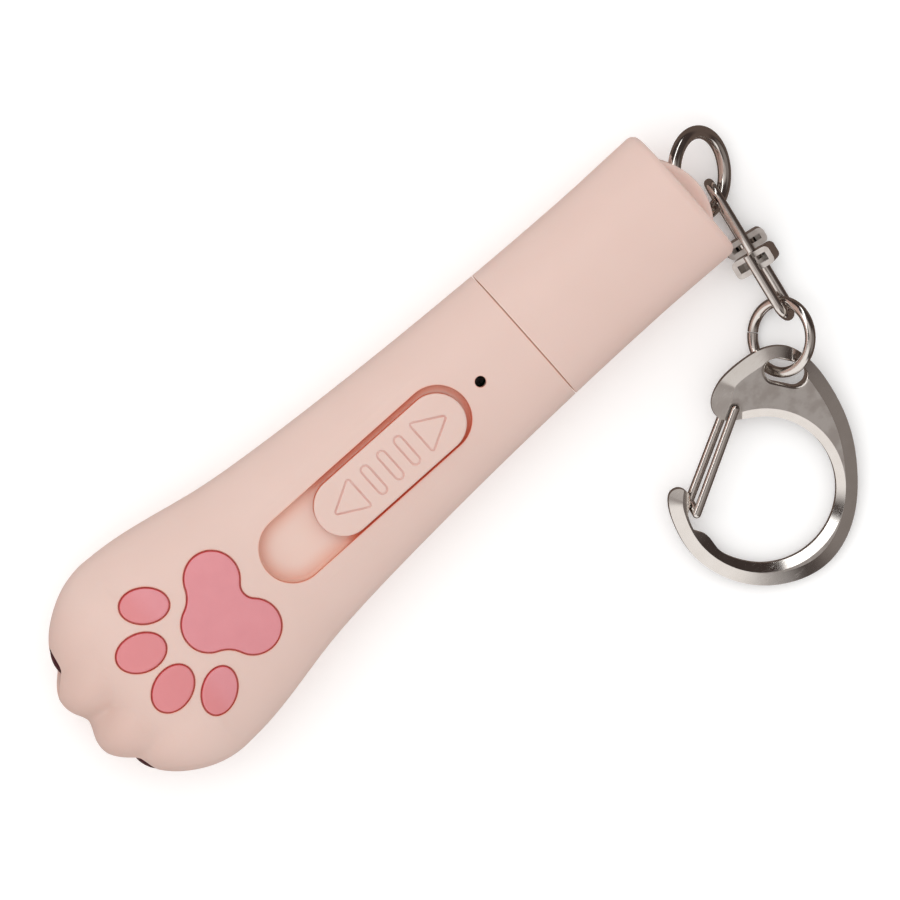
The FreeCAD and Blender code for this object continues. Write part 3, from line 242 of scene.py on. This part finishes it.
def pad_rubber():
    """Soft satin rubber, deep red down its sides, partly the rubber's own darker edge and partly painted
    shade, with a painted red glow deep in the groove.
    """
    finish = Finish("pad_rubber")
    cloud = finish.speckle(0.35, 3.0)
    grain = finish.speckle(7.0, 3.0)
    # steep pad sides painted deep red: partly the rubber's own darker edge, partly painted shade in the
    # groove
    rim = 1 - finish.facing((0, 0, 1)).rising(0.5, 0.86)
    base = finish.blend(cloud, colour(0.64, 0.235, 0.26), colour(0.7, 0.275, 0.3))
    base = finish.blend(grain.rising(0.6, 0.85) * 0.35, base, colour(0.58, 0.19, 0.21))
    toes = 1 - finish.along("X").rising(-27, -24)
    base = finish.blend(toes * 0.5, base, colour(0.65, 0.2, 0.2))
    base = finish.blend(rim, base, colour(0.5, 0.04, 0.045))
    # painted glow: the pad sides glow red deep in the groove, though the rubber is no lamp
    painted_groove_glow = finish.crevice(0.8) * rim
    finish.surface(
        Base_Color=base,
        Emission_Color=finish.blend(painted_groove_glow, no_glow, colour(0.16, 0.02, 0.018)),
        Emission_Strength=1.0,
        Roughness=0.4 + grain * 0.14,
        Normal=finish.relief(grain, 0.015, 0.5),
        Subsurface_Weight=0.08,
        Subsurface_Radius=(1.0, 0.3, 0.25),
        Subsurface_Scale=1.0 * mm,
    )
    return finish.material


def window_tint():
    """Very dark red window, a little smeared."""
    finish = Finish("window_tint")
    cloud = finish.speckle(0.5, 2.0)
    base = finish.blend(cloud, colour(0.04, 0.006, 0.011), colour(0.07, 0.012, 0.02))
    smear = finish.speckle(1.2, 3.0, (1.0, 0.3, 1.0))
    finish.surface(Base_Color=base, Roughness=0.06 + smear * 0.1, Specular_IOR_Level=0.3)
    return finish.material


def nickel(name, flats=None):
    """Bright plating with handling marks; the flats, if any, are greyer and less bright."""
    finish = Finish(name)
    scratch = finish.speckle(2.2, 4.0, (0.25, 1.6, 1.0)).rising(0.56, 0.72)
    cloud = finish.speckle(0.6, 3.0)
    base = finish.blend(cloud, colour(0.66, 0.62, 0.58), colour(0.74, 0.71, 0.68))
    rough = 0.1 + cloud * 0.06 + scratch * 0.06
    height = scratch
    if flats:
        flat = finish.facing(flats).rising(0.975, 0.995)
        peel = finish.speckle(3.5, 2.0)
        stain = finish.blend(cloud.rising(0.35, 0.65), colour(0.58, 0.54, 0.51), colour(0.71, 0.68, 0.65))
        base = finish.blend(flat, base, stain)
        rough = rough + flat * (0.22 + peel * 0.08)
        height = height + flat * peel
    rubbed = finish.worn_edge(0.2) * cloud.rising(0.4, 0.6)
    base = finish.blend(rubbed * 0.5, base, colour(0.82, 0.8, 0.77))
    finish.surface(
        Base_Color=base,
        Metallic=1.0,
        Roughness=rough + rubbed * 0.08,
        Normal=finish.relief(height, 0.004, 0.4),
    )
    return finish.material


def turned_metal(name, dark, light, rough, metal=1.0):
    """Plain metal with fine marks along its length; metal below 1 is a paler satin plating."""
    finish = Finish(name)
    marks = finish.speckle(3.0, 3.0, (0.1, 1.0, 1.0))
    cloud = finish.speckle(0.4, 2.0)
    finish.surface(
        Base_Color=finish.blend(cloud * 0.6 + marks * 0.4, dark, light),
        Metallic=metal,
        Roughness=rough + marks * 0.12,
        Normal=finish.relief(marks, 0.006, 0.4),
    )
    return finish.material


def moulded(name, dark, light, rough, coat=0.0):
    """Plain moulded or wrapped plastic with a faint orange peel."""
    finish = Finish(name)
    peel = finish.speckle(4.0, 3.0)
    cloud = finish.speckle(0.3, 2.0)
    finish.surface(
        Base_Color=finish.blend(cloud * 0.7 + peel * 0.3, dark, light),
        Roughness=rough + peel * 0.1,
        Normal=finish.relief(peel, 0.01, 0.4),
        Coat_Weight=coat,
    )
    return finish.material


def board_laminate():
    """Green lacquered board with darker bare gaps between its copper fields and tinned spots."""
    finish = Finish("board_laminate")
    along, across = finish.along("X"), finish.along("Y")
    tracks = (across + finish.speckle(0.15) * 3).folded(0.6).rising(0.28, 0.34)
    spots_x, spots_y = along.folded(1.27), across.folded(1.27)
    spots = 1 - (spots_x * spots_x + spots_y * spots_y).rising(0.06, 0.09)
    spots = spots * finish.speckle(0.25).rising(0.5, 0.54)
    base = finish.blend(tracks, colour(0.012, 0.09, 0.035), colour(0.02, 0.16, 0.06))
    base = finish.blend(spots, base, colour(0.62, 0.6, 0.56))
    finish.surface(
        Base_Color=base,
        Metallic=spots,
        Roughness=0.28 + finish.speckle(2.0) * 0.12,
        Normal=finish.relief(tracks + spots, 0.03, 0.5),
        Coat_Weight=0.3,
    )
    return finish.material


def battery_wrap():
    """Wrinkled silver wrap with yellow tape over the end nearest the plug."""
    finish = Finish("battery_wrap")
    wrinkle = finish.speckle(0.5, 4.0, (0.3, 1.0, 1.0))
    tape = finish.along("X").rising(10.6, 10.7)
    base = finish.blend(wrinkle, colour(0.42, 0.43, 0.46), colour(0.56, 0.57, 0.6))
    base = finish.blend(tape, base, colour(0.75, 0.5, 0.06))
    finish.surface(
        Base_Color=base,
        Metallic=0.6 - tape * 0.6,
        Roughness=0.25 + wrinkle * 0.2,
        Normal=finish.relief(wrinkle - tape * 0.6, 0.12, 0.6),
    )
    return finish.material


def clear_resin(name, tint, rough):
    """Clear casting, faintly cloudy."""
    finish = Finish(name)
    cloud = finish.speckle(0.8, 3.0)
    finish.surface(
        Base_Color=finish.blend(cloud, tint, colour(0.95, 0.95, 0.93)),
        Roughness=rough + cloud * 0.05,
        Transmission_Weight=0.75,
        IOR=1.5,
    )
    return finish.material


def dress():
    """Gives each node of the frame its finish."""
    lean, roll = math.radians(plate_lean), math.radians(swivel_roll)
    body = peach_plastic("peach_halves", True)
    single = peach_plastic("peach_single")
    pads = pad_rubber()
    tint = window_tint()
    wire = nickel("nickel_wire")
    upper_swivel = nickel("nickel_swivel_upper", (0, 0, 1))
    # The swivel lies along (0.18, 0.98) on the floor, and this is its lower half's own upward side.
    rolled_up = (-0.98 * math.sin(roll), 0.18 * math.sin(roll), math.cos(roll))
    lower_swivel = nickel("nickel_swivel_lower", rolled_up)
    hook = nickel("nickel_hook", (0, -math.sin(lean), math.cos(lean)))
    black = moulded("black_plastic", colour(0.012, 0.012, 0.013), colour(0.03, 0.03, 0.032), 0.4)
    brass = turned_metal("turned_brass", colour(0.55, 0.36, 0.12), colour(0.75, 0.53, 0.24), 0.2)
    leads = moulded("lead_cover", colour(0.35, 0.01, 0.01), colour(0.5, 0.02, 0.015), 0.35)
    resin = clear_resin("lamp_resin", colour(0.88, 0.9, 0.8), 0.04)
    finishes = {
        "upper_shell": body,
        "lower_shell": body,
        "end_cap": single,
        "slide_button": single,
        "main_pad": pads,
        "inner_toe_pad_left": pads,
        "inner_toe_pad_right": pads,
        "outer_toe_pad_left": pads,
        "outer_toe_pad_right": pads,
        "laser_window": tint,
        "lamp_window": tint,
        "lug_ring": wire,
        "jump_ring": wire,
        "swivel_upper": upper_swivel,
        "swivel_lower": lower_swivel,
        "swivel_rivet": wire,
        "wire_gate": wire,
        "snap_hook": hook,
        "shell_screws": turned_metal("screw_steel", colour(0.3, 0.3, 0.31), colour(0.5, 0.5, 0.5), 0.28),
        "button_clip": black,
        "switch_lever": black,
        "charge_chip": black,
        "usb_tongue": black,
        "switch_body": turned_metal("switch_sheet", colour(0.55, 0.55, 0.55), colour(0.7, 0.7, 0.69), 0.25),
        "circuit_board": board_laminate(),
        "charge_light": resin,
        "lamp_led": resin,
        "battery_cell": battery_wrap(),
        "battery_leads": leads,
        "laser_leads": leads,
        "laser_barrel": brass,
        "laser_diode": brass,
        "laser_lens": clear_resin("lens_glass", colour(0.9, 0.95, 0.95), 0.02),
        "usb_shell": turned_metal("plug_sheet", colour(0.6, 0.6, 0.59), colour(0.74, 0.74, 0.72), 0.26, 0.7),
        "usb_contacts": turned_metal("contact_gold", colour(0.7, 0.45, 0.15), colour(0.85, 0.62, 0.28), 0.15),
    }
    for name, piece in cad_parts.items():
        piece.data.materials.clear()
        piece.data.materials.append(finishes[name])


def studio_floor():
    """Pale floor with a slight glow of its own, so that the toy's soft shadow stays light."""
    bpy.ops.mesh.primitive_plane_add(size=6)
    floor = bpy.context.active_object
    floor.name = "studio_floor"
    finish = Finish("pale_floor")
    cloud = finish.speckle(0.02, 2.0)
    finish.surface(
        Base_Color=finish.blend(cloud, colour(0.93, 0.93, 0.93), colour(0.95, 0.95, 0.95)),
        Roughness=0.9,
        Emission_Color=colour(1.0, 1.0, 1.0),
        Emission_Strength=0.14,
    )
    floor.data.materials.append(finish.material)
    floor.visible_glossy = False


def studio_light():
    """Even white surround; mirrors see pale panels and a white strip in a dark brown room instead."""
    world = bpy.data.worlds.new("studio")
    bpy.context.scene.world = world
    world.use_nodes = True
    room = Nodes(world.node_tree)
    room.tree.nodes.clear()
    aim = room.node("ShaderNodeTexCoord", output="Generated")
    height = room.likeness(aim, (0, 0, 1))
    shade = room.blend(height.rising(-0.2, 0.05), colour(0.13, 0.095, 0.08), colour(0.05, 0.036, 0.032))
    shade = room.blend(height.rising(0.8, 0.97), shade, colour(0.52, 0.48, 0.46))
    right_wall = room.likeness(aim, Vector((0.44, -0.67, 0.6)).normalized())
    shade = room.blend(right_wall.rising(0.8, 0.97), shade, colour(0.27, 0.24, 0.225))
    low_panels = (((-0.87, -0.2, 0.5), 0.68, 0.86), ((-0.53, -0.83, 0.15), 0.85, 0.95))
    for towards, start, end in low_panels:
        panel = room.likeness(aim, Vector(towards).normalized())
        shade = room.blend(panel.rising(start, end), shade, colour(1.1, 1.07, 1.05))
    key_panel = room.likeness(aim, Vector((-0.03, 0.44, 0.9)).normalized())
    shade = room.blend(key_panel.rising(0.94, 0.985), shade, colour(0.85, 0.82, 0.8))
    back = room.likeness(aim, (0, 1, 0))
    strip = back.rising(0.56, 0.6) * (1 - back.rising(0.68, 0.72)) * height.rising(0.2, 0.3)
    shade = room.blend(strip, shade, colour(2.6, 2.6, 2.6))
    mirrored = room.node("ShaderNodeBackground", None, {"Color": shade})
    surround = room.node("ShaderNodeBackground", None, {"Color": colour(1.0, 0.99, 0.98), "Strength": 0.86})
    glossy = room.node("ShaderNodeLightPath", output="Is Glossy Ray")
    choice = room.node("ShaderNodeMixShader", None, {0: glossy, 1: surround, 2: mirrored})
    room.node("ShaderNodeOutputWorld", None, {"Surface": choice}, None)


def soft_box(name, place, aim, size, power):
    """Square lamp that the metal doesn't mirror, because the room's panels stand in for it."""
    light = bpy.data.lights.new(name, "AREA")
    light.shape = "SQUARE"
    light.size = size
    light.energy = power
    lamp = bpy.data.objects.new(name, light)
    bpy.context.collection.objects.link(lamp)
    lamp.location = place
    lamp.rotation_euler = (Vector(aim) - Vector(place)).to_track_quat("-Z", "Y").to_euler()
    lamp.visible_glossy = False


def photo_camera():
    """Camera nearly straight above, turned so that the toy's length runs up to the right."""
    turn = math.radians(41.5)
    target = Vector((17.74, -4.87, seam_height)) * mm
    distance = 1.8
    lean_side, lean_back = math.radians(-0.3), math.radians(5.5)
    away = Vector((math.sin(lean_side), math.sin(lean_back), 1.0)).normalized()
    camera = bpy.data.objects.new("photo_camera", bpy.data.cameras.new("photo_camera"))
    bpy.context.collection.objects.link(camera)
    up = Vector((math.sin(turn), math.cos(turn), 0))
    up = (up - away * up.dot(away)).normalized()
    right = up.cross(away)
    stance = Matrix((right, up, away)).transposed().to_4x4()
    camera.matrix_world = Matrix.Translation(target + away * distance) @ stance
    sensor, field = 36, 116.9 * mm
    camera.data.sensor_width = sensor
    camera.data.lens = sensor * distance / field
    camera.data.clip_start = 0.01
    bpy.context.scene.camera = camera


dress()
studio_floor()
studio_light()
soft_box("upper_left_box", (-0.1, 0.3, 0.9), (0.01, 0, 0), 0.9, 3.0)
photo_camera()
bpy.context.scene.view_settings.view_transform = "Standard"
